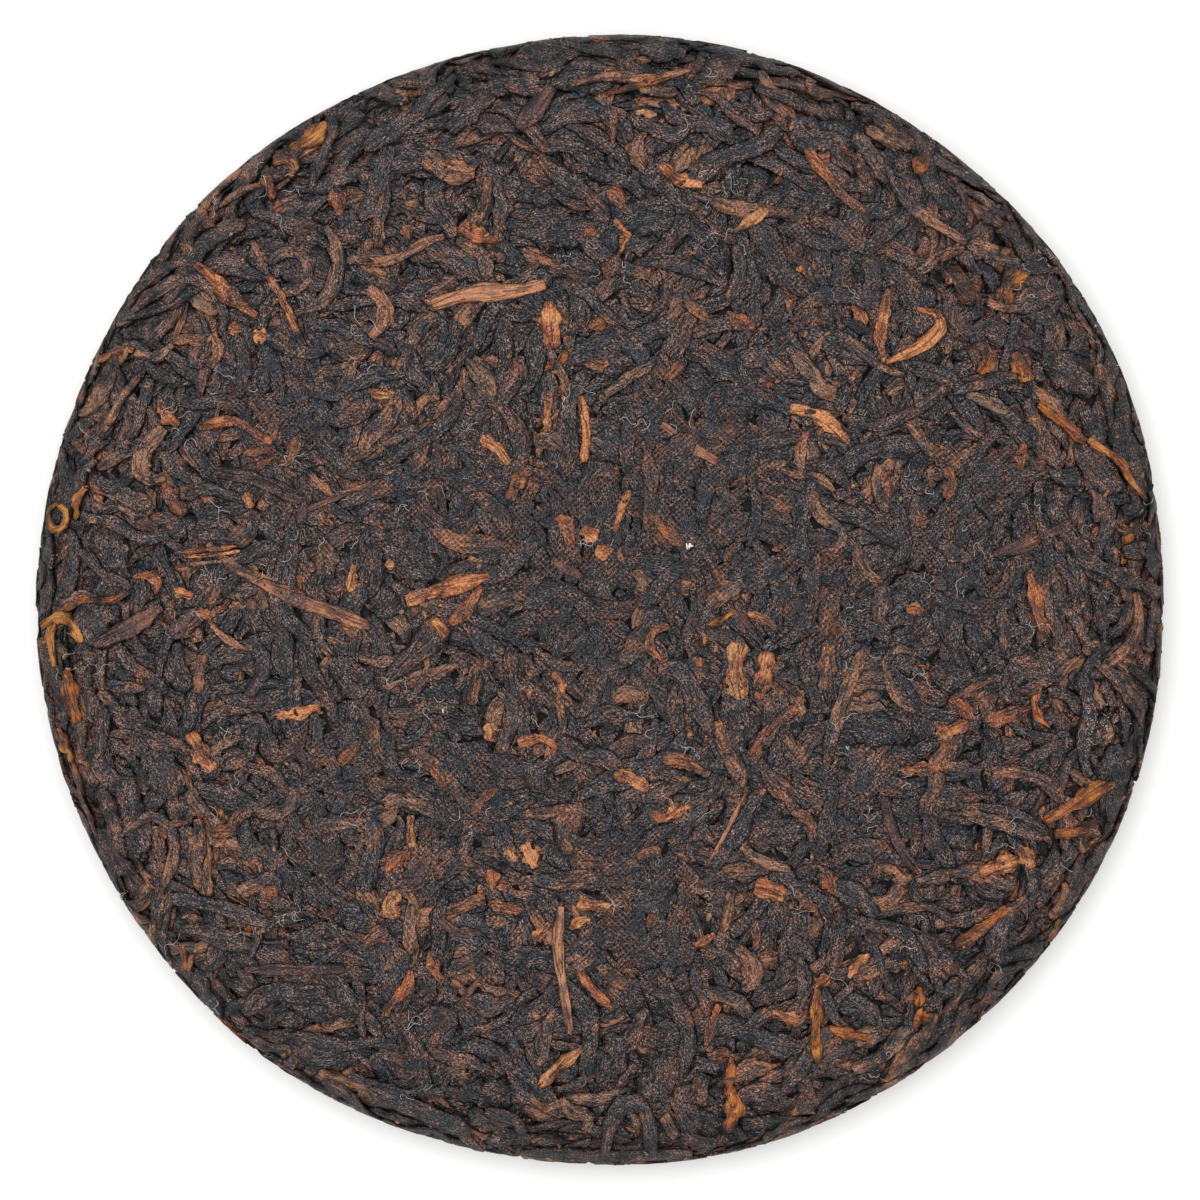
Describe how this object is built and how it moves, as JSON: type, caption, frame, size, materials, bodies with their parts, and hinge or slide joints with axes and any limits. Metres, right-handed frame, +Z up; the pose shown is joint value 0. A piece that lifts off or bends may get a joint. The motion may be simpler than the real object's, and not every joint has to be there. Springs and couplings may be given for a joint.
{
  "type": "pu erh tea cake",
  "caption": "Round cake of pressed dark tea leaves, a low dome with a rounded rim, a flat foot and a hollow under its middle.",
  "frame": {"origin": "on the table under the middle of the cake", "axes": "+Z up, out of the domed face; the cake is round about Z, and +Y points to the top of the picture"},
  "size_m": [0.1954, 0.1965, 0.0226],
  "materials": {
    "tea_leaf": "matt"
  },
  "bodies": {
    "root": {"tea_cake": "tea_leaf"}
  },
  "joints": []
}
